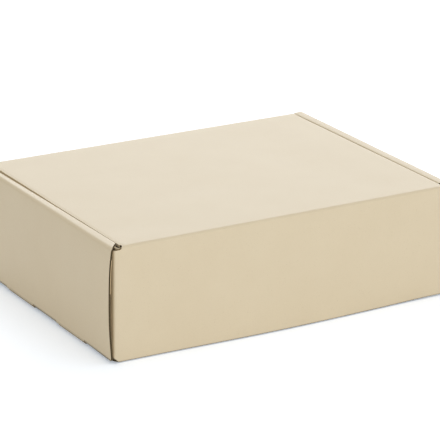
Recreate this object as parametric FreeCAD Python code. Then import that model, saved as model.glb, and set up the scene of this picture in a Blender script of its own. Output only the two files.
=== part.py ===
"""A closed mailer box, cut and folded from one sheet of thin corrugated board.

The sheet makes the base, the double side walls with their flat strips on top, the tray's
front and back walls and the lid. Its front flap hangs outside the tray's front wall, and
the flap's two ears are tucked into the hollow side walls, so the flap is the one part that
can move first. Millimetres, X along the front, Y to the back, Z up from the table.
"""

import FreeCAD, Part
import math
import os

# The closed box, in millimetres
box_length = 268.8
box_width = 195.0
box_height = 80.0
board = 1.6
play = 0.3
fold_radius = 2.4

# The side walls: outer panel, strip on top and inner panel in one turn of board
side_bow = 1.9
strip_width = 8.8
strip_cut_depth = 9.2
strip_cut_swell = 1.3
side_front_set = 0.2
inner_panel_lift = 0.3
inner_panel_end_gap = 0.5

# The tray's front and back walls, and the corner flaps folded back from their ends
front_wall_gap = 0.3
front_corner_inset = 5.3
back_corner_inset = 2.2
corner_flap_depth = 34.0
corner_flap_lift = 2.2
corner_flap_head = 2.0
corner_flap_radius = 8.0

# The locking tabs of the inner panels and the slots that take them
tab_centres = (57.5, 132.0)
tab_length = 39.0
tab_height = 13.0
slot_width = 4.0
slot_end_gap = 0.8
slot_mouth = 1.0

# The lid and its crease
lid_side_gap = 0.4
crease_radius = 2.0

# The front flap and its ears
flap_lift = 0.4
flap_bow = 3.0
flap_top_gap = 0.2
flap_corner_cut = 4.0
ear_inset = 1.7
ear_depth = 50.0
ear_head = 3.8
ear_sweep_gap = 0.9
ear_corner_radius = 6.0
ear_toe_radius = 2.4
ear_tip_radius = 1.5
ear_shoulder = 6.0
ear_shoulder_radius = 0.5

# Places that follow from the sizes
half_length = box_length / 2
front = -(box_width - flap_bow) / 2
back = front + box_width
strip_inner = half_length - strip_width
lid_edge = strip_inner - lid_side_gap
lid_under = box_height - board
front_wall = front + board + front_wall_gap
wall_top = lid_under - play
front_corner = half_length - front_corner_inset
back_corner = half_length - back_corner_inset
ear_outer = half_length - ear_inset
flap_top = box_height - crease_radius - flap_top_gap
hinge_y = front + crease_radius * (1 - math.sqrt(0.5))
hinge_z = box_height - crease_radius * (1 - math.sqrt(0.5))
ear_sweep = hinge_z - board - ear_sweep_gap
slot_lip_bow = side_bow / 6

# How far a cut reaches past the board, how far a wall's foot runs into the base, and the
# radius of a corner that is meant to be sharp
past = 1.0
foot_overlap = 4.0
sharp = 0.2


def vec(x, y, z=0.0):
    return FreeCAD.Vector(x, y, z)


def across(u, v):
    """A point of a section that is seen along the box's width."""
    return vec(u, 0, v)


def along(u, v):
    """A point of a section that is seen along the box's length."""
    return vec(0, u, v)


def plan(u, v):
    """A point of a section that is seen from above."""
    return vec(u, v, 0)


def block(x_range, y_range, z_range):
    """A box between two values on each axis."""
    size = [abs(b - a) for a, b in (x_range, y_range, z_range)]
    low = vec(min(x_range), min(y_range), min(z_range))
    return Part.makeBox(size[0], size[1], size[2], low)


def both_sides(shape):
    """The shape and its mirror image on the box's other side."""
    return [shape, shape.mirror(vec(0, 0, 0), vec(1, 0, 0))]


def rounded_edges(corners, radii, place):
    """Edges through the corners in turn, with each inner corner rounded to its radius."""
    points = [FreeCAD.Vector(*c, 0) for c in corners]
    edges = []
    start = points[0]
    for before, corner, after, radius in zip(points, points[1:], points[2:], radii):
        arrive = (corner - before).normalize()
        leave = (after - corner).normalize()
        half_turn = arrive.getAngle(leave) / 2
        reach = radius * math.tan(half_turn)
        first = corner - arrive * reach
        last = corner + leave * reach
        middle = corner + (leave - arrive).normalize() * radius * (1 / math.cos(half_turn) - 1)
        if (first - start).Length > 1e-6:
            edges.append(Part.makeLine(place(start.x, start.y), place(first.x, first.y)))
        edges.append(Part.Arc(*[place(p.x, p.y) for p in (first, middle, last)]).toShape())
        start = last
    end = points[-1]
    edges.append(Part.makeLine(place(start.x, start.y), place(end.x, end.y)))
    return edges


def inner_corners(corners, depth):
    """The corners of the line that lies a depth to the left of a line through corners."""
    points = [FreeCAD.Vector(*c, 0) for c in corners]
    headings = [(b - a).normalize() for a, b in zip(points, points[1:])]
    lefts = [vec(-h.y, h.x) for h in headings]
    moved = [points[0] + lefts[0] * depth]
    for corner, left, next_left in zip(points[1:-1], lefts, lefts[1:]):
        bisector = (left + next_left).normalize()
        moved.append(corner + bisector * (depth / bisector.dot(left)))
    moved.append(points[-1] + lefts[-1] * depth)
    return [(p.x, p.y) for p in moved]


def folded_board(corners, radii, place, run):
    """Board whose outer face follows the corners, drawn out along the run."""
    outer = rounded_edges(corners, radii, place)
    inside = inner_corners(corners, board)
    inner = rounded_edges(inside, [r - board for r in radii], place)
    ends = [
        Part.makeLine(place(*corners[0]), place(*inside[0])),
        Part.makeLine(place(*corners[-1]), place(*inside[-1])),
    ]
    wire = Part.Wire(Part.__sortEdges__(outer + inner + ends))
    return Part.Face(wire).extrude(run)


def rounded_plate(corners, radii, place, run):
    """A plate with the outline through the corners, each rounded to its radius."""
    middle = [(a + b) / 2 for a, b in zip(corners[0], corners[-1])]
    outline = [tuple(middle)] + list(corners) + [tuple(middle)]
    wire = Part.Wire(rounded_edges(outline, radii, place))
    return Part.Face(wire).extrude(run)


def joined(shapes):
    """One solid of the shapes, which share faces or overlap."""
    whole = shapes[0].multiFuse(shapes[1:]).removeSplitter()
    if len(whole.Solids) != 1 or not whole.isValid():
        raise ValueError(f"the board falls into {len(whole.Solids)} pieces")
    return whole.Solids[0]


def side_walls():
    """The base with both side walls, which rise, roll over and come down inside."""
    leg = box_height / 2
    flat_reach = leg - 1.5 * fold_radius
    swell = side_bow / (1 - flat_reach / box_height)
    bow_radius = flat_reach / math.tan(math.atan(swell / leg))
    foot = board + inner_panel_lift
    left = [
        (-strip_inner, foot),
        (-strip_inner, box_height),
        (-half_length, box_height),
        (-half_length - swell, leg),
        (-half_length, 0.0),
    ]
    right = [(-x, z) for x, z in reversed(left)]
    radii = [fold_radius, fold_radius, bow_radius, fold_radius]
    sheet = folded_board(left + right, radii + radii[::-1], across, vec(0, box_width, 0))
    sheet.translate(vec(0, front, 0))
    return sheet.cut(side_wall_cuts())


def side_wall_cuts():
    """What the die cuts from the side walls: their ends, the strips' corners and the slots."""
    over = box_length
    crease = half_length - fold_radius
    set_back = block((-over, over), (front, front + side_front_set), (-past, box_height + past))
    front_end = front_wall + fold_radius
    back_end = back - fold_radius
    base_front = block((-crease, crease), (front, front_end), (-past, board + past))
    base_back = block((-crease, crease), (back_end, back + past), (-past, board + past))
    cuts = [set_back, base_front, base_back]
    inner_x = (strip_inner - play, strip_inner + board + play)
    inner_z = (board, lid_under - fold_radius + board)
    inner_front = (front, front_wall + board + inner_panel_end_gap)
    inner_back = (back - board - inner_panel_end_gap, back + past)
    for inner_y in (inner_front, inner_back):
        cuts += both_sides(block(inner_x, inner_y, inner_z))
    cuts += both_sides(strip_corner_cut())
    for centre in tab_centres:
        y_range = [front + centre + side * (tab_length / 2 + slot_end_gap) for side in (-1, 1)]
        slot_x = (half_length - slot_width, half_length + side_bow)
        cuts += both_sides(block(slot_x, y_range, (-past, fold_radius)))
        cuts += both_sides(block(inner_x, y_range, (board, board + tab_height)))
    return cuts


def strip_corner_cut():
    """The slanting, slightly swollen cut that takes the front corner off a top strip."""
    outer = (half_length + side_bow, front)
    start = (half_length, front)
    end = (strip_inner - lid_side_gap / 2, front + strip_cut_depth)
    inner = (strip_inner - lid_side_gap / 2, front)
    chord = vec(end[0] - start[0], end[1] - start[1])
    normal = vec(chord.y, -chord.x).normalize()
    middle = vec((start[0] + end[0]) / 2, (start[1] + end[1]) / 2) + normal * strip_cut_swell
    edges = [
        Part.makeLine(plan(*outer), plan(*start)),
        Part.Arc(plan(*start), middle, plan(*end)).toShape(),
        Part.makeLine(plan(*end), plan(*inner)),
        Part.makeLine(plan(*inner), plan(inner[0], front - past)),
        Part.makeLine(plan(inner[0], front - past), plan(outer[0], front - past)),
        Part.makeLine(plan(outer[0], front - past), plan(*outer)),
    ]
    prism = Part.Face(Part.Wire(edges)).extrude(vec(0, 0, fold_radius + past))
    prism.translate(vec(0, 0, box_height - fold_radius))
    return prism


def slot_lips():
    """The outer panels' straight bottom edges over the slots, where no crease rounds them."""
    lips = []
    for centre in tab_centres:
        y_range = [front + centre + side * (tab_length / 2 + slot_end_gap) for side in (-1, 1)]
        x_range = (half_length - board + slot_lip_bow, half_length + slot_lip_bow)
        lips += both_sides(block(x_range, y_range, (slot_mouth, fold_radius + board)))
    return lips


def locking_tabs():
    """The tabs of the inner panels, which lean out into the slots at the side creases."""
    tabs = []
    head = board + tab_height
    foot = slot_mouth / 2
    toe = half_length - slot_width + play
    outline = [
        (strip_inner, head),
        (strip_inner + board, head),
        (toe + board, foot),
        (toe, foot),
    ]
    points = [across(x, z) for x, z in outline]
    face = Part.Face(Part.makePolygon(points + points[:1]))
    for centre in tab_centres:
        tab = face.extrude(vec(0, tab_length, 0))
        tab.translate(vec(0, front + centre - tab_length / 2, 0))
        tabs += both_sides(tab)
    return tabs


def end_wall(wall_y, inward, corner_x, root_top):
    """A front or back wall with its crease to the base and its two corner flaps."""
    foot_run = fold_radius + board + foot_overlap
    crease_x = corner_x - fold_radius
    path = [(wall_y, root_top), (wall_y, 0.0), (wall_y + inward * foot_run, 0.0)]
    turn = path if inward > 0 else path[::-1]
    rise = folded_board(turn, [fold_radius], along, vec(2 * crease_x, 0, 0))
    rise.translate(vec(-crease_x, 0, 0))
    flap_end = wall_y + inward * corner_flap_depth
    ring = [
        (-corner_x, flap_end),
        (-corner_x, wall_y),
        (corner_x, wall_y),
        (corner_x, flap_end),
    ]
    turn = ring if inward > 0 else ring[::-1]
    low = fold_radius
    high = root_top - corner_flap_head
    wrap = folded_board(turn, [fold_radius] * 2, plan, vec(0, 0, high - low))
    wrap.translate(vec(0, 0, low))
    near = wall_y - inward * past
    outline = [
        (near, low + corner_flap_lift - fold_radius),
        (flap_end, low + corner_flap_lift),
        (flap_end, high),
        (near, high + past),
    ]
    radii = [sharp, corner_flap_radius, corner_flap_radius, sharp]
    turned = outline if inward > 0 else outline[::-1]
    radii = radii if inward > 0 else radii[::-1]
    plate = rounded_plate(turned, radii, along, vec(box_length + 4 * side_bow, 0, 0))
    plate.translate(vec(-half_length - 2 * side_bow, 0, 0))
    return [rise, wrap.common(plate)]


def lid():
    """The lid with its crease to the back wall and the crease that its front flap hangs from."""
    path = [
        (back, fold_radius + board),
        (back, box_height),
        (front, box_height),
        (front, box_height - crease_radius),
    ]
    cover = folded_board(path, [fold_radius, crease_radius - 0.001], along, vec(2 * lid_edge, 0, 0))
    cover.translate(vec(-lid_edge, 0, 0))
    return cover


def folded_sheet():
    """The whole sheet but its front flap: one piece of board."""
    parts = [side_walls(), lid()]
    parts += slot_lips() + locking_tabs()
    parts += end_wall(front_wall, 1, front_corner, wall_top)
    parts += end_wall(back, -1, back_corner, wall_top)
    return joined(parts)


def bowed_panel():
    """The flap's panel: straight at the crease and bowed forward along its free edge."""
    end_x = ear_outer - fold_radius
    wires = []
    for z, bow in ((flap_lift, flap_bow), (flap_top, 0.0)):
        edges = []
        for y in (front, front + board):
            left, right = vec(-end_x, y, z), vec(end_x, y, z)
            if bow:
                edges.append(Part.Arc(left, vec(0, y - bow, z), right).toShape())
            else:
                edges.append(Part.makeLine(left, right))
        for x in (end_x, -end_x):
            edges.append(Part.makeLine(vec(x, front, z), vec(x, front + board, z)))
        wires.append(Part.Wire([edges[0], edges[2], edges[1], edges[3]]))
    return Part.makeLoft(wires, True, True)


def ear_outline():
    """A plate that keeps the ear's outline: a foot that clears the base as the flap swings."""
    ear_back = front + ear_depth
    low_z = hinge_z - math.sqrt(ear_sweep ** 2 - (ear_back - hinge_y) ** 2)
    mid_y = (front + ear_back) / 2
    mid_z = hinge_z - math.sqrt(ear_sweep ** 2 - (mid_y - hinge_y) ** 2)
    start_z = flap_lift + flap_corner_cut
    ear_top = box_height - ear_head
    start = along(front - past, start_z - past)
    foot = along(ear_back - ear_corner_radius, low_z - ear_corner_radius / 2)
    edges = [
        Part.makeLine(start, along(front + flap_corner_cut, start_z)),
        Part.Arc(along(front + flap_corner_cut, start_z), along(mid_y, mid_z), foot).toShape(),
    ]
    tail = [
        (foot.y, foot.z),
        (ear_back, low_z),
        (ear_back, ear_top),
        (front + ear_shoulder, ear_top),
        (front + fold_radius, flap_top),
        (front - past, flap_top),
        (front - past, start_z - past),
    ]
    radii = [ear_toe_radius, ear_corner_radius, ear_tip_radius, ear_shoulder_radius, sharp]
    edges += rounded_edges(tail, radii, along)
    plate = Part.Face(Part.Wire(edges)).extrude(vec(2 * half_length, 0, 0))
    plate.translate(vec(-half_length, 0, 0))
    return plate


def front_flap():
    """The flap that closes the front, with an ear folded back at each end."""
    path = [
        (-ear_outer, front + ear_depth),
        (-ear_outer, front),
        (2 * fold_radius - ear_outer, front),
    ]
    end = folded_board(path, [fold_radius], plan, vec(0, 0, flap_top))
    return joined([bowed_panel()] + both_sides(end.common(ear_outline())))


os.makedirs("parts", exist_ok=True)
folded_sheet().exportStep("parts/folded_sheet.step")
front_flap().exportStep("parts/front_flap.step")
print(f"hinge line at Y {hinge_y:.3f}, Z {hinge_z:.3f}")
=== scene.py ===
"""A closed mailer box of plain kraft board: its looks, built on its construction's frame."""

import math

import bmesh
import bpy
from mathutils import Matrix, Vector, noise
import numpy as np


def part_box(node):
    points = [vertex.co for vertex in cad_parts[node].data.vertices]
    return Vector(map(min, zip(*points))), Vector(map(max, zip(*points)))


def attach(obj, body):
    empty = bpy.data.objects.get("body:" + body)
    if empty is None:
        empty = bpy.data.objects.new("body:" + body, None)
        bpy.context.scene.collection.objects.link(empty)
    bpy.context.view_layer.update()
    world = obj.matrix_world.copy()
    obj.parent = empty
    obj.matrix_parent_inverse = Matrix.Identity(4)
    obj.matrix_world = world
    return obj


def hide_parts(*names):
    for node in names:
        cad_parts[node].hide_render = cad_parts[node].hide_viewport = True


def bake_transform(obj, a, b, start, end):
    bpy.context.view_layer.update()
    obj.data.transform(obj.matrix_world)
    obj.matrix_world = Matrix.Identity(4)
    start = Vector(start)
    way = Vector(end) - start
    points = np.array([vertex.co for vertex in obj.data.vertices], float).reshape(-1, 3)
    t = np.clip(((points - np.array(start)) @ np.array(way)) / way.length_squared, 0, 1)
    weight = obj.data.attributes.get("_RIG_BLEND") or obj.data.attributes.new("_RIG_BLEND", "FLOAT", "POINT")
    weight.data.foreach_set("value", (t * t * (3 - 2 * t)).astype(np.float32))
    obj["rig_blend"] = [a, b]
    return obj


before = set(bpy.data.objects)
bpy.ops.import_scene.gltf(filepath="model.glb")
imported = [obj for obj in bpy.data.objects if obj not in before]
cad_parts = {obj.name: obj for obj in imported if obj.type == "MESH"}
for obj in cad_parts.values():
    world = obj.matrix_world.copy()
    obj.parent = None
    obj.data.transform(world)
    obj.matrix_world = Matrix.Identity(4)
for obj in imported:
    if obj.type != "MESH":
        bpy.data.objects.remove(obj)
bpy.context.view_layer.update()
scene = bpy.context.scene

# The base and both side walls are one run of fine-flute kraft board. Each wall rises from
# the base, rolls over at the top as a flat strip and comes down inside, where two tabs lock
# into slots at the base's crease. Sizes from here on are in millimetres.
metre = 1000.0
board = 1.6
play = 0.3
fold_radius = 2.4
fold_columns = 6
panel_step = 6.0

low, high = (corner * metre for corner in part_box("folded_sheet"))
front, back, height = low.y, high.y, high.z
length = back - front
side_bow = 1.9
bow_shortfall = 0.03
half_length = high.x - side_bow + bow_shortfall
strip_inner = 126.4
inner_fold_radius = 1.2
inner_start = 8.3
front_wall = front + board + play


class BoardLine:
    """Board seen end on: straight runs with rounded creases, turning left all the way."""

    def __init__(self, corners, radii):
        self.parts = []
        points = [Vector(c) for c in corners]
        self.length = 0.0
        start = points[0]
        for i, radius in enumerate(radii + [0.0]):
            corner = points[i + 1]
            heading = (corner - points[i]).normalized()
            if not radius:
                self.add(start, heading, (corner - start).length, 0.0)
                break
            leave = (points[i + 2] - corner).normalized()
            turn = heading.angle(leave)
            reach = radius * math.tan(turn / 2)
            first = corner - heading * reach
            self.add(start, heading, (first - start).length, 0.0)
            self.add(first, heading, radius * turn, radius)
            start = corner + leave * reach

    def add(self, start, heading, length, radius):
        self.parts.append((self.length, start, heading, length, radius))
        self.length += length

    def ends(self, index):
        """The distances at which a run or crease begins and ends."""
        begin, _, _, length, _ = self.parts[index]
        return begin, begin + length

    def stops(self, step=panel_step):
        """Distances along the line at which columns of the mesh stand."""
        found = [0.0]
        for begin, _, _, length, radius in self.parts:
            count = fold_columns if radius else max(1, math.ceil(length / step))
            found += [begin + length * (n + 1) / count for n in range(count)]
        return found

    def at(self, distance, depth=0.0):
        """The point at a distance along the outer face, sunk a depth into the board."""
        for begin, start, heading, length, radius in self.parts:
            if distance <= begin + length + 1e-6:
                break
        left = Vector((-heading.y, heading.x))
        if not radius:
            return start + heading * (distance - begin) + left * depth
        spoke = Matrix.Rotation((distance - begin) / radius, 2) @ -left
        return start + left * radius + spoke * (radius - depth)


def between(value, low_value, high_value):
    """0 below the low value, 1 above the high one, and smooth between them."""
    share = min(1.0, max(0.0, (value - low_value) / (high_value - low_value)))
    return share * share * (3 - 2 * share)


def spaced(start, end, step=panel_step):
    """Values from start to end, about a step apart."""
    count = max(1, math.ceil(abs(end - start) / step))
    return [start + (end - start) * n / count for n in range(count + 1)]


def ordered(*lists):
    """All the values of some lists, sorted, each one once."""
    return sorted({round(value, 4) for values in lists for value in values})


class Socket:
    """A shader socket whose arithmetic adds Math nodes."""

    def __init__(self, tree, socket):
        self.tree = tree
        self.socket = socket

    def math(self, operation, *values):
        node = self.tree.nodes.new("ShaderNodeMath")
        node.operation = operation
        for slot, value in zip(node.inputs, (self,) + values):
            if isinstance(value, Socket):
                self.tree.links.new(value.socket, slot)
            else:
                slot.default_value = value
        return Socket(self.tree, node.outputs[0])

    def __add__(self, other):
        return self.math("ADD", other)

    __radd__ = __add__

    def __mul__(self, other):
        return self.math("MULTIPLY", other)

    __rmul__ = __mul__

    def __sub__(self, other):
        return self.math("SUBTRACT", other)

    def __rsub__(self, other):
        return (self * -1.0) + other

    def held(self):
        """Kept between 0 and 1."""
        return self.math("MAXIMUM", 0.0).math("MINIMUM", 1.0)


class Shader:
    """The node tree of one material."""

    def __init__(self, name):
        self.material = bpy.data.materials.new(name)
        self.material.use_nodes = True
        self.tree = self.material.node_tree
        self.surface = self.tree.nodes["Principled BSDF"]

    def node(self, kind, settings=None, output=0, **values):
        """Adds a node, sets it up, feeds its sockets and returns one of its outputs."""
        node = self.tree.nodes.new(kind)
        for key, value in (settings or {}).items():
            setattr(node, key, value)
        for key, value in values.items():
            self.feed(node.inputs[key.replace("_", " ")], value)
        return Socket(self.tree, node.outputs[output])

    def feed(self, slot, value):
        if isinstance(value, Socket):
            self.tree.links.new(value.socket, slot)
        else:
            slot.default_value = value

    def set(self, **values):
        for key, value in values.items():
            self.feed(self.surface.inputs[key.replace("_", " ")], value)

    def mix(self, factor, first, second):
        """A colour between two colours."""
        node = self.tree.nodes.new("ShaderNodeMix")
        node.data_type = "RGBA"
        for slot, value in zip((node.inputs[0], node.inputs[6], node.inputs[7]), (factor, first, second)):
            self.feed(slot, value)
        return Socket(self.tree, node.outputs[2])

    def stretched(self, x, y, z):
        """Object coordinates in metres, scaled differently on each axis."""
        place = self.node("ShaderNodeTexCoord", output="Object")
        return self.node("ShaderNodeMapping", Vector=place, Scale=(x, y, z))

    def cloud(self, place, scale, detail=3.0):
        """Soft noise about one half."""
        return self.node("ShaderNodeTexNoise", Vector=place, Scale=scale, Detail=detail, Roughness=0.55)

    def attribute(self, name):
        return self.node("ShaderNodeAttribute", {"attribute_name": name}, output="Fac")


def linear(red, green, blue):
    """A screen colour, 0 to 255, as the light that it stands for."""
    parts = [v / 255 for v in (red, green, blue)]
    return tuple(p / 12.92 if p <= 0.04045 else ((p + 0.055) / 1.055) ** 2.4 for p in parts) + (1.0,)


kraft = linear(219, 204, 174)
kraft_dark = linear(207, 189, 156)
kraft_fibre = linear(184, 162, 128)
flute_pale = linear(188, 166, 128)
flute_hollow = linear(108, 88, 56)
flute_core = linear(50, 39, 20)
# Painted shade: the darker tone laid on the base's creases and on the flap's foot, next to the table.
crease_shade = linear(118, 104, 80)
flute_pitch = 3.2
wave_width = 0.17
strand_width, strand_place = 0.24, 0.84
paper_sharpness = 12.0


def kraft_liner():
    """Smooth tan liner: faint clouds, short dark fibres, the flutes' ghost under it, and painted shade."""
    shader = Shader("kraft_liner")
    place = shader.stretched(1, 1, 1)
    clouds = shader.cloud(place, 38.0)
    grain = shader.cloud(shader.stretched(2.2, 1, 1), 900.0, detail=2.0)
    specks = shader.cloud(shader.stretched(1, 1.3, 1), 1500.0, detail=1.0)
    fibre = (specks - 0.66).held() * 2.5
    tone = shader.mix((clouds * 0.4 + grain * 0.3 - 0.25).held(), kraft, kraft_dark)
    # Painted shade: the liner darkens towards crease_shade by an attribute set at the base's creases and the
    # flap's foot.
    tone = shader.mix(shader.attribute("painted_shade") * (clouds * 0.8 + 0.6), tone, crease_shade)
    flutes = (shader.attribute("flute") * (2 * math.pi / flute_pitch)).math("SINE")
    relief = flutes * 0.35 + grain * 0.5 + clouds * 0.4
    shader.set(
        Base_Color=shader.mix(fibre, tone, kraft_fibre),
        Roughness=grain * 0.12 + 0.4,
        Specular_IOR_Level=0.35,
        Normal=shader.node("ShaderNodeBump", Strength=0.1, Distance=0.00012, Height=relief),
    )
    return shader.material


def cut_edge(name, open_flutes, dark, torn=False):
    """A cut edge: two pale liners, and between them the wavy middle layer or one dark core.

    Where the edge is torn, pale strands of the middle layer stand along its inner liner.
    """
    shader = Shader(name)
    across = shader.attribute("across")
    off_middle = (across - 0.5).math("ABSOLUTE")
    liners = ((off_middle - (0.34 if open_flutes else 0.4)) * 9.0).held()
    fuzz = shader.cloud(shader.stretched(1, 1, 1), 2600.0, detail=2.0)
    if open_flutes:
        wave = (shader.attribute("flute") * (2 * math.pi / flute_pitch)).math("SINE")
        off_wave = (across - (wave * 0.3 + 0.5)).math("ABSOLUTE")
        paper = ((wave_width - off_wave) * paper_sharpness).held()
    elif torn:
        off_strands = (across - strand_place).math("ABSOLUTE")
        paper = ((strand_width - off_strands) * paper_sharpness).held()
    else:
        paper = (fuzz - 0.35).held() * 0.6
    core = shader.mix(paper, dark, flute_pale)
    rough = shader.node("ShaderNodeBump", Strength=0.4, Distance=0.0002, Height=fuzz + liners + paper)
    shader.set(
        Base_Color=shader.mix(liners * (fuzz * 0.6 + 0.6), core, kraft_dark),
        Roughness=fuzz * 0.1 + 0.85,
        Specular_IOR_Level=0.15,
        Normal=rough,
    )
    return shader.material


def crushed_edge():
    """An edge that a crease has pressed shut, so that hardly any hollow shows."""
    shader = Shader("crushed_edge")
    fuzz = shader.cloud(shader.stretched(1, 1, 1), 1800.0, detail=2.0)
    shader.set(
        Base_Color=shader.mix(fuzz * 0.8, kraft, flute_pale),
        Roughness=fuzz * 0.1 + 0.8,
        Normal=shader.node("ShaderNodeBump", Strength=0.3, Distance=0.0002, Height=fuzz),
    )
    return shader.material


board_finish = [
    kraft_liner(),
    cut_edge("cut_across_flutes", True, flute_hollow),
    cut_edge("cut_along_flutes", False, flute_core),
    crushed_edge(),
    cut_edge("cut_flap_edge", False, flute_hollow),
    cut_edge("cut_frayed_edge", False, flute_core, torn=True),
]
face_finish, across_finish, along_finish, crushed_finish, flap_finish, frayed_finish = range(6)
mostly_across = 0.85


def board_sheet(name, columns, rows, place, flute, cut_away=None, rim=None, painted_shade=None):
    """A panel, or a run of panels, of board.

    A flat grid with the given columns and rows loses the faces that the die cuts away, is
    extruded into a thickness, and is then laid out by place(column, row, depth). flute is
    the distance across the flutes, from a column and row, and rim names the finish of the
    cut edges where it doesn't follow from that. The last argument is how much painted shade
    darkens the liner there.
    """
    mesh = bmesh.new()
    column, row, across, ripple, shade_layer = (
        mesh.verts.layers.float.new(n) for n in ("column", "row", "across", "flute", "painted_shade")
    )
    bmesh.ops.create_grid(mesh, x_segments=len(columns) - 1, y_segments=len(rows) - 1, size=1)
    for v in mesh.verts:
        v[column] = columns[round((v.co.x + 1) / 2 * (len(columns) - 1))]
        v[row] = rows[round((v.co.y + 1) / 2 * (len(rows) - 1))]
    if cut_away:
        lost = []
        for f in mesh.faces:
            middle = [sum(v[layer] for v in f.verts) / len(f.verts) for layer in (column, row)]
            if cut_away(*middle):
                lost.append(f)
        bmesh.ops.delete(mesh, geom=lost, context="FACES")
    inner = bmesh.ops.extrude_face_region(mesh, geom=mesh.faces[:])["geom"]
    for v in inner:
        if isinstance(v, bmesh.types.BMVert):
            v[across] = 1.0
    for v in mesh.verts:
        v[ripple] = flute(v[column], v[row])
        v[shade_layer] = painted_shade(v[column], v[row]) if painted_shade else 0.0
        v.co = place(v[column], v[row], v[across] * board) / metre
    bmesh.ops.recalc_face_normals(mesh, faces=mesh.faces)
    for f in mesh.faces:
        f.smooth = True
        if len({v[across] for v in f.verts}) > 1:
            spread = max(v[ripple] for v in f.verts) - min(v[ripple] for v in f.verts)
            longest = max(e.calc_length() for e in f.edges) * metre
            middle = [sum(v[layer] for v in f.verts) / len(f.verts) for layer in (column, row)]
            found = rim(*middle) if rim else None
            plain = across_finish if spread > longest * mostly_across else along_finish
            f.material_index = found or plain
    for e in mesh.edges:
        e.smooth = len({f.material_index == face_finish for f in e.link_faces}) == 1
    mesh.verts.layers.float.remove(mesh.verts.layers.float["column"])
    mesh.verts.layers.float.remove(mesh.verts.layers.float["row"])
    data = bpy.data.meshes.new(name)
    mesh.to_mesh(data)
    mesh.free()
    for finish in board_finish:
        data.materials.append(finish)
    piece = bpy.data.objects.new(name, data)
    scene.collection.objects.link(piece)
    return piece


def settle(piece, body="tray_and_lid"):
    """Fixes a finished piece to the body that carries it."""
    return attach(piece, body)


wave_length = 47.0


def waviness(x, y, z, amount):
    """How far a stretch of board stands off its true plane."""
    return noise.noise(Vector((x, y, z)) / wave_length) * amount


inner_foot = board + play
inner_end_gap = board + 0.5
end_zone = 16.0
tab_centres = (57.5, 132.0)
tab_length = 39.0
tab_head = board + 13.0
slot_half = tab_length / 2 + 0.8
slot_width = 4.0
slot_mouth = 1.3

left_wall = [(-strip_inner, inner_foot), (-strip_inner, height)]
left_wall += [(-half_length, height), (-half_length, 0)]
right_wall = [(-x, z) for x, z in reversed(left_wall)]
wall_folds = [inner_fold_radius, fold_radius, fold_radius]
wall_line = BoardLine(left_wall + right_wall, wall_folds + wall_folds[::-1])
inner_run, inner_fold, strip_run, outer_fold, outer_run, base_fold = range(6)


def from_left(distance):
    """The distance along the wall line, counted from the end on the same side of the box."""
    return min(distance, wall_line.length - distance)


bow_skew = 1.3
bow_fullness = 2.8
middle_share, front_share, back_share = 0.55, 0.45, 0.25
ear_cover, corner_flap_cover = 0.4, 0.75
corner_tuck = 0.22
tuck_heights, tuck_depths = (46, 72), (-4, 18)


def outer_bow(z, y):
    """How far the outer panel bellies out over the ear, and tucks in at its top front corner."""
    up = min(1.0, max(0.0, z / height)) ** bow_skew
    full = 1 - abs(2 * up - 1) ** bow_fullness
    depth = (y - front) / length
    over_ear = front_share * (1 - between(depth, 0.0, ear_cover))
    over_corner_flap = back_share * between(depth, corner_flap_cover, 1.0)
    tuck = corner_tuck * between(z, *tuck_heights) * (1 - between(y - front, *tuck_depths))
    return side_bow * full * (middle_share + over_ear + over_corner_flap) - tuck


heel_lift = 1.3
front_heel_drop, heel_drop_depths = 0.7, (-5, 40)
heel_width, heel_height = 7.0, 30.0


def heel(inset, y):
    """How far the base's edge stands off the table, at a distance from the side crease."""
    lift = heel_lift - front_heel_drop * (1 - between(y - front, *heel_drop_depths))
    return lift * (1 - between(inset, 0, heel_width))


def through(value, knots):
    """A straight line from knot to knot, read at a value."""
    for (start, first), (end, last) in zip(knots, knots[1:]):
        if value <= end:
            return first + (last - first) * max(0.0, value - start) / (end - start)
    return knots[-1][1]


outer_front_set = 0.2
outer_back_set = 0.4
strip_set, strip_slant, strip_curl = 8.5, 7.0, 2.2
base_corner = [(0, outer_front_set), (fold_radius, 6.0), (2.74, 5.8), (3.56, 3.6), (4.31, 2.4)]
base_corner += [(5.96, 1.5), (6.4, 1.5), (6.5, front_wall + fold_radius - front)]


def wall_ends(distance):
    """Where the board begins and ends, front to back, at a distance along the wall line."""
    d = from_left(distance)
    x, _ = wall_line.at(d)
    over = max(0.0, (-x - strip_inner) / (half_length - strip_inner))
    slanted = strip_set - strip_slant * over - strip_curl * over ** 2
    if d <= wall_line.ends(inner_run)[1]:
        start, end = inner_start, inner_end_gap
    elif d <= wall_line.ends(outer_fold)[1]:
        start, end = min(inner_start, max(outer_front_set, slanted)), outer_back_set
    else:
        base = between(d, *wall_line.ends(base_fold))
        start = through(half_length + x, base_corner)
        end = outer_back_set + (fold_radius - outer_back_set) * base
    return front + start, back - end


def at_a_tab(y, slack=0.0):
    """Whether a place along the side lies at one of the two tabs."""
    return any(abs(y - front - c) < slot_half - slack for c in tab_centres)


left_lean, right_lean = 0.25, 0.4
left_drop, right_drop = 2.25, 0.4
drop_curve, drop_height = 1.25, 20.0
outer_ripple, ripple_heights = 0.25, (2, 20)
lip_bulge, lip_end = 0.25, 0.5
nearly = 0.01


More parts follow.
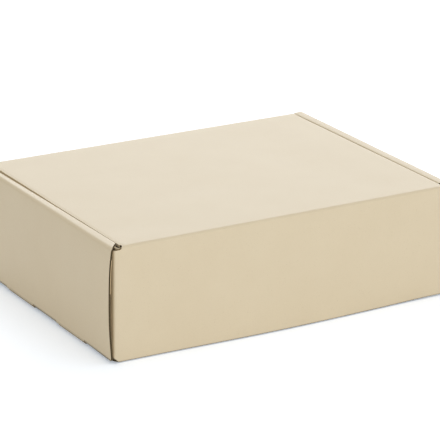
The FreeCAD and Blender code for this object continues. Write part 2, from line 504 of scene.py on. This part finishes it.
def wall_place(distance, y, depth):
    """The run's shape: its folds, bows and sags, and the slots' lowered lips."""
    x, z = wall_line.at(distance, depth)
    d = from_left(distance)
    side = -1 if distance < wall_line.length / 2 else 1
    first, last = wall_ends(distance)
    near, far = front + end_zone, back - end_zone
    if y < near:
        y = first + (y - front) / end_zone * (near - first)
    elif y > far:
        y = far + (y - far) / end_zone * (last - far)
    across = min(1.0, max(0.0, (half_length - fold_radius - abs(x)) / (half_length - strip_inner)))
    if d < wall_line.ends(outer_fold)[0]:
        lean, drop = (left_lean, left_drop) if side < 0 else (right_lean, right_drop)
        x -= lean * across * (y - front) / length
        z -= drop * across * max(0.0, (y - front) / length) ** drop_curve * min(1.0, z / drop_height)
        x += side * outer_bow(height, y) * (1 - across) * between(d, *wall_line.ends(strip_run))
    elif d < wall_line.ends(base_fold)[1]:
        x += side * outer_bow(z, y)
        x += side * waviness(x, y, z, outer_ripple) * between(z, *ripple_heights)
        z += heel(0, y) * (1 - between(z, 0, heel_height))
        lip = abs(d - wall_line.ends(outer_run)[1]) < nearly
        if lip and at_a_tab(y, lip_end):
            z -= fold_radius - slot_mouth
            x += side * lip_bulge
    else:
        z += heel(half_length - abs(x), y)
    return Vector((x, y, z))


def wall_cuts(distance, y):
    """The slots at the base's creases, and the windows that the tabs leave in the inner panels."""
    d = from_left(distance)
    in_slot = wall_line.ends(outer_run)[1] < d < wall_line.ends(base_fold)[1] + slot_width - fold_radius
    return at_a_tab(y) and (in_slot or d < tab_head - inner_foot)


# Painted shade on the base's creases: how far it reaches up the wall, how far into the fold it grows, and
# how far it fades onto the base.
shade_reach, shade_rise, shade_width = 0.8, 1.0, 2.0
lip_row = lip_end + 0.1
base_start = wall_line.ends(base_fold)[1]
extra_columns = [base_start + width - fold_radius for width in (slot_width, heel_width)]
extra_columns += [base_start + inset - fold_radius for inset, _ in base_corner[2:]]
extra_columns += [tab_head - inner_foot, wall_line.ends(base_fold)[0] - shade_reach]
wall_columns = ordered(wall_line.stops(), extra_columns, [wall_line.length - d for d in extra_columns])
slot_rows = [front + c + s * (slot_half - g) for c in tab_centres for s in (-1, 1) for g in (0, lip_row)]
end_steps = 8
end_rows = [n * end_zone / end_steps for n in range(end_steps)]
wall_rows = ordered(
    [front + d for d in end_rows],
    spaced(front + end_zone, back - end_zone, 5.0),
    [back - d for d in end_rows],
    slot_rows,
)


def shaded_creases(distance, y):
    """Painted shade on the creases at the base, most of all on the side that faces the table."""
    d = from_left(distance)
    fold, end = wall_line.ends(base_fold)
    return between(d, fold - shade_reach, fold + shade_rise) * (1 - between(d, end, end + shade_width))


frayed_foot, frayed_head = 47.0, 69.0


def wall_rim(distance, y):
    """The inner panels' edges are pressed shut, and the outer panels' front edges partly frayed."""
    d = from_left(distance)
    if d < wall_line.ends(inner_fold)[0]:
        return crushed_finish
    _, z = wall_line.at(d)
    return frayed_finish if y < front + 1 and frayed_foot < z < frayed_head else None


side_walls = board_sheet(
    "base_and_side_walls",
    wall_columns,
    wall_rows,
    wall_place,
    lambda d, y: y,
    wall_cuts,
    rim=wall_rim,
    painted_shade=shaded_creases,
)
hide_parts("folded_sheet")
settle(side_walls)


# Four locking tabs, two at the foot of each inner panel. Each is bent out from its panel,
# goes down into a slot at the base's crease, and ends in a short toe under the outer panel.
tab_shin = half_length - slot_width + play
tab_toe = half_length - 1.5
toe_foot = 0.5
toe_radius = 0.8


def locking_tab(name, side, centre):
    """One tab: side is -1 for the left and 1 for the right, centre its distance from the front."""
    shape = [(side * tab_toe, toe_foot), (side * tab_shin, toe_foot), (side * strip_inner, tab_head)]
    if side > 0:
        shape.reverse()
    line = BoardLine(shape, [toe_radius])

    def place(distance, y, depth):
        x, z = line.at(distance, depth)
        return Vector((x, y, z))

    rows = spaced(front + centre - tab_length / 2, front + centre + tab_length / 2)
    settle(board_sheet(name, line.stops(3.0), rows, place, lambda d, y: y))


for side, side_name in ((-1, "left"), (1, "right")):
    for centre, place_name in zip(tab_centres, ("front", "back")):
        locking_tab(f"locking_tab_{side_name}_{place_name}", side, centre)


# The tray's front wall stands behind the front flap. It is creased up from the base, its
# top edge carries the lid, and its corner flaps go back into the hollow side walls.
wall_top = height - board - play
front_corner = half_length - 5.1
corner_flap_depth = 34.0
corner_flap_foot = 3.4
corner_flap_tip = 9.0
tip_cut = 6.0


def creased_wall(name, corner_x, wall_y, inward, top, notch=None, rim=None):
    """A wall creased up from the base, with a corner flap folded back at each end.

    inward is 1 for the front wall and -1 for the back wall. notch is the half width and the
    depth of the piece that is missing at the middle of the top edge.
    """
    ends = [(-corner_x, wall_y + inward * corner_flap_depth), (-corner_x, wall_y)]
    ends += [(-x, y) for x, y in reversed(ends)]
    if inward < 0:
        ends.reverse()
    plan = BoardLine(ends, [fold_radius] * 2)
    rise = BoardLine([(0, top), (0, 0), (fold_radius, 0)], [fold_radius])
    flap_end = plan.ends(1)[0]
    wall_start, wall_end = plan.ends(2)
    fold_foot = rise.ends(1)[0] + fold_radius * math.pi / 4

    def place(distance, drop, depth):
        x, y = plan.at(distance, depth)
        z = top - drop
        if wall_start - nearly < distance < wall_end + nearly:
            set_back, z = rise.at(drop, depth)
            y = wall_y + inward * set_back
        end = min(distance, plan.length - distance)
        tip = (1 - between(end, 0, corner_flap_tip)) ** 2 * tip_cut
        return Vector((x, y, z + tip * (1 - 2 * z / height)))

    def cut_away(distance, drop):
        end = min(distance, plan.length - distance)
        if end < flap_end:
            return drop > top - corner_flap_foot
        if end < wall_start:
            return drop > (fold_foot if inward < 0 else top - corner_flap_foot)
        return bool(notch) and drop < notch[1] and min(end, plan.length / 2) > plan.length / 2 - notch[0]

    notch_rows = [notch[1]] if notch else []
    notch_columns = [plan.length / 2 + s * notch[0] for s in (-1, 1)] if notch else []
    piece = board_sheet(
        name,
        ordered(plan.stops(), notch_columns),
        ordered(rise.stops(), [top - corner_flap_foot], notch_rows),
        place,
        lambda d, r: r,
        cut_away,
        rim,
    )
    settle(piece)


creased_wall("tray_front_wall", front_corner, front_wall, 1, wall_top, rim=lambda d, r: crushed_finish)


# The back wall rises from the base with two corner flaps of its own, and turns over at the
# top into the lid, which lies between the two strips. The lid is creased along its back
# edge and ends short of the front crease, which is made apart.
back_corner = half_length - 2.2
crease_reach = 12.0
lid_back_half = 125.7
lid_front_half = 126.15
lid_front_shift = -0.2
lid_back_shift = -0.6
relief_cut = 1.0
relief_start, relief_end = 3.2, 4.8
lid_unevenness, wave_reach = 0.5, 40.0
side_droop, droop_width, droop_run = 0.3, 2.2, 10.0
back_lap = 5.0

lid_notch = (lid_back_half, wall_top - height + fold_radius + back_lap)
creased_wall("back_wall", back_corner, back, -1, wall_top, lid_notch)

lap_foot = height - fold_radius - back_lap
lid_line = BoardLine([(back, lap_foot), (back, height), (front + crease_reach, height)], [fold_radius])


def lid_half(y):
    """Half the lid's width, which is cut back a little beside the front crease."""
    depth = (y - front) / length
    straight = lid_front_half + (lid_back_half - lid_front_half) * depth
    return straight - relief_cut * (1 - between(y - front, relief_start, relief_end))


def lid_skew(y):
    """How far the lid lies to the right of the middle."""
    return lid_front_shift + (lid_back_shift - lid_front_shift) * (y - front) / length


def lid_wave(x, y):
    """The lid's slight unevenness, which fades at its creases."""
    off_creases = between(y - front, 1, wave_reach) * between(back - y, 2, wave_reach)
    return waviness(x, y, 0, lid_unevenness) * off_creases


def edge_droop(share, y):
    """The lid's cut sides are pressed down a little by the die."""
    return side_droop * between(abs(share), 1 - droop_width / lid_half(y), 1)


def lid_place(share, distance, depth):
    """The lid and its lap on the back wall; share runs from -1 at the left to 1 at the right."""
    y, z = lid_line.at(distance, depth)
    wall_end, fold_end = lid_line.ends(1)
    if distance > fold_end:
        z += min(0.0, lid_wave(share * lid_half(y), y))
        z -= edge_droop(share, y) * between(distance, fold_end, fold_end + droop_run)
    skew = lid_skew(y) * between(distance, wall_end, fold_end)
    return Vector((share * lid_half(y) + skew, y, z))


half_columns = 44
nominal_half = 125.0
even_shares = [n / half_columns - 1 for n in range(2 * half_columns + 1)]
edge_shares = [s * (1 - n / nominal_half) for s in (-1, 1) for n in (0.5, 1.1, droop_width)]
shares = ordered(even_shares, edge_shares)
lid = board_sheet(
    "lid", shares, lid_line.stops(4.0), lid_place, lambda s, d: d, rim=lambda s, d: crushed_finish
)
settle(lid)


# The front crease is where the lid's board turns down into the flap. It bends when the
# flap is lifted, so this narrow run follows the lid at one edge and the flap at the other.
crease_radius = 2.0
flap_inner = 126.9
flap_bow = 3.0
flap_curve = 1.7
crease_line = BoardLine(
    [(front + crease_reach, height), (front, height), (front, height - crease_reach)], [crease_radius]
)
bend_start, bend_end = crease_line.ends(1)
widening_start = bend_start - 0.2
widening_length = 2.4
pressed_end = bend_start - 2.2
relief_columns = [bend_start - n for n in (1.2, 1.6, 2.8)]


def flap_swell(x, z):
    """How far the flap's face stands forward: straight at the crease, bowed at its free edge."""
    down = max(0.0, (height - crease_radius - z) / (height - crease_radius)) ** flap_curve
    return flap_bow * math.cos(math.pi * x / (2 * half_length)) ** 2 * down


def crease_place(share, distance, depth):
    """The lid's last stretch, the bend, and the flap's first stretch, which is wider."""
    y, z = crease_line.at(distance, depth)
    turned = between(distance, bend_start, bend_end)
    widening = min(1.0, max(0.0, (distance - widening_start) / widening_length))
    half = lid_half(y) + (flap_inner - lid_half(y)) * widening
    x = share * half + lid_skew(y) * (1 - turned)
    if distance > bend_end:
        y -= flap_swell(x, z)
    z -= edge_droop(share, y) * (1 - turned)
    return Vector((x, y, z))


crease = board_sheet(
    "front_crease",
    shares,
    ordered(crease_line.stops(2.0), relief_columns),
    crease_place,
    lambda s, d: d + lid_line.length,
    # Painted shade: beyond the pressed stretch the crease's cut sides take the dark-cored finish, for the
    # shaded corner notch.
    rim=lambda s, d: crushed_finish if d < pressed_end else along_finish,
)
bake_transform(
    crease,
    "tray_and_lid",
    "flap",
    start=Vector((0, front + 3.0, height - 0.4)) / metre,
    end=Vector((0, front + 0.6, height - 3.2)) / metre,
)


# The front flap hangs from the crease outside the tray's front wall and bows forward at its
# free edge. At each end it is folded back into an ear, tucked between the layers of the
# side wall, and its lower corners are cut off so that they clear the base.
flap_foot = 0.5
right_foot_lift, lift_from, lift_to = 0.5, 70.0, 125.0
corner_cut, corner_cut_slope = 128.7, 0.8
ear_outer = half_length - 2.2
ear_fold_radius = 1.8
ear_depth = 50.0
ear_tip = 7.0
ear_clearance = 0.9
tip_rise, tip_fall = 5.0, 3.0
shoulder = height - 2.35
shoulder_step, step_width = 0.65, 1.2
ear_rise, ear_rise_insets = 0.2, (-7, -3)
ear_head_drop, head_drop_depths = 2.0, (2.5, 7)
swell_fade = 3.0
# Painted shade along the flap's foot, just off the table, and the height it fades over.
foot_shade, foot_shade_height = 0.9, 0.7
hinge_z = height - crease_radius * (1 - math.sqrt(0.5))
ear_sweep = hinge_z - board - ear_clearance
flap_ends = [(-ear_outer, front + ear_depth), (-ear_outer, front)]
flap_ends += [(-x, y) for x, y in reversed(flap_ends)]
flap_plan = BoardLine(flap_ends, [ear_fold_radius] * 2)
flap_top = height - crease_reach


def flap_outline(end, x, behind):
    """The foot and the top of the flap, at a distance from the tip of its ear."""
    inward = end - flap_plan.length / 2 + flap_inner
    chamfer = corner_cut_slope * max(0.0, flap_plan.length / 2 - end - corner_cut)
    foot = flap_foot + right_foot_lift * between(x, lift_from, lift_to) + chamfer
    if behind > 0:
        foot = max(foot, hinge_z - math.sqrt(ear_sweep ** 2 - behind ** 2))
    tip = (1 - between(end, 0, ear_tip)) ** 2
    top = shoulder + shoulder_step * between(inward, -step_width, 0)
    top += ear_rise * between(inward, *ear_rise_insets)
    top -= ear_head_drop * between(behind, *head_drop_depths)
    return foot + tip_rise * tip, top - tip_fall * tip


def flap_place(distance, rise, depth):
    """The flap and its ears: rise runs up from the foot, to flap_top and then to the shoulder."""
    x, y = flap_plan.at(distance, depth)
    end = min(distance, flap_plan.length - distance)
    foot, top = flap_outline(end, x, y - front)
    if rise <= flap_top:
        z = foot + (flap_top - foot) * rise / flap_top
    else:
        z = flap_top + (rise - flap_top) * (top - flap_top) / crease_reach
    if abs(x) < flap_inner + swell_fade:
        y -= flap_swell(x, z) * (1 - between(abs(x), flap_inner, flap_inner + swell_fade))
    return Vector((x, y, z))


def above_the_flap(distance, rise):
    """Between the ears the flap ends where the crease's own run begins."""
    end = min(distance, flap_plan.length - distance)
    return rise > flap_top and end > flap_plan.length / 2 - flap_inner


edge_columns = (flap_inner, corner_cut - 0.6, corner_cut, corner_cut + 0.6)
flap_edges = [flap_plan.length / 2 + s * n for s in (-1, 1) for n in edge_columns]
flap = board_sheet(
    "front_flap_with_ears",
    ordered(flap_plan.stops(4.0), flap_edges),
    [0.0] + spaced(foot_shade_height, flap_top, 5.0) + spaced(flap_top, height, 2.0)[1:],
    flap_place,
    lambda d, rise: rise,
    above_the_flap,
    rim=lambda d, rise: flap_finish,
    # Painted shade along the flap's foot.
    painted_shade=lambda d, rise: foot_shade * (1 - between(rise, 0, foot_shade_height)),
)
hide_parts("front_flap")
settle(flap, "flap")


# A matt white table, which glows a little to the camera and in reflections so that it shows
# white, and keeps the box's shadow. Soft lamps stand above, in front and, for the lid's sheen,
# behind. The camera is fitted to the photo, from the front, the left and above.
table_white = (0.97, 0.97, 0.98, 1)
table_glow = (0.75, 0.87, 1, 1)
dark = (0, 0, 0, 1)
table_size = 12.0
table_height = -0.0001

table_shade = Shader("white_table")
seen = table_shade.node("ShaderNodeLightPath", output="Is Camera Ray")
mirrored = table_shade.node("ShaderNodeLightPath", output="Is Glossy Ray")
through_glass = table_shade.node("ShaderNodeLightPath", output="Is Transmission Ray")
table_shade.set(
    Base_Color=table_white,
    Roughness=0.9,
    Specular_IOR_Level=0.1,
    Emission_Color=table_shade.mix(seen + mirrored + through_glass, dark, table_glow),
    Emission_Strength=0.34,
)
bpy.ops.mesh.primitive_plane_add(size=table_size, location=(0, 0, table_height))
table = bpy.context.object
table.name = "table"
table.data.materials.append(table_shade.material)

world = bpy.data.worlds.new("studio")
world.use_nodes = True
scene.world = world
backdrop = world.node_tree.nodes["Background"]
backdrop.inputs["Color"].default_value = (1, 0.985, 0.955, 1)
backdrop.inputs["Strength"].default_value = 0.655
lamp_tint = (0.9, 0.935, 1.0)


def lamp(name, wide, tall, power, place, aim):
    """A soft lamp that faces a point, in metres and watts."""
    data = bpy.data.lights.new(name, "AREA")
    data.shape = "RECTANGLE"
    data.size = wide
    data.size_y = tall
    data.energy = power
    data.color = lamp_tint
    light = bpy.data.objects.new(name, data)
    light.location = place
    light.rotation_euler = (Vector(aim) - Vector(place)).to_track_quat("-Z", "Y").to_euler()
    scene.collection.objects.link(light)


lamp("top", 1.2, 1.2, 5.9, (0.35, -0.2, 1.8), (0, 0, 0))
lamp("front", 1.0, 0.12, 1.3, (-0.02, -0.7, 0.05), (0, -0.1, 0.0))
lamp("sheen", 2.6, 2.6, 48.5, (1.75, 2.9, 1.3), (0, 0, 0.08))

camera_data = bpy.data.cameras.new("camera")
camera_data.sensor_width = 36.0
camera_data.lens = 211.52
camera_data.clip_start = 0.01
camera = bpy.data.objects.new("camera", camera_data)
camera_turn = math.radians(31.00)
camera_dip = math.radians(19.466)
camera_roll = math.radians(0.854)
near_corner = Vector((-133.17, front, 0)) / metre
from_corner = Vector((-9.244, -17.036, 8.097)) * height / metre
camera.location = near_corner + from_corner
camera.matrix_world = (
    Matrix.Translation(camera.location)
    @ Matrix.Rotation(-camera_turn, 4, "Z")
    @ Matrix.Rotation(math.pi / 2 - camera_dip, 4, "X")
    @ Matrix.Rotation(camera_roll, 4, "Z")
)
scene.collection.objects.link(camera)
scene.camera = camera

scene.view_settings.view_transform = "Standard"
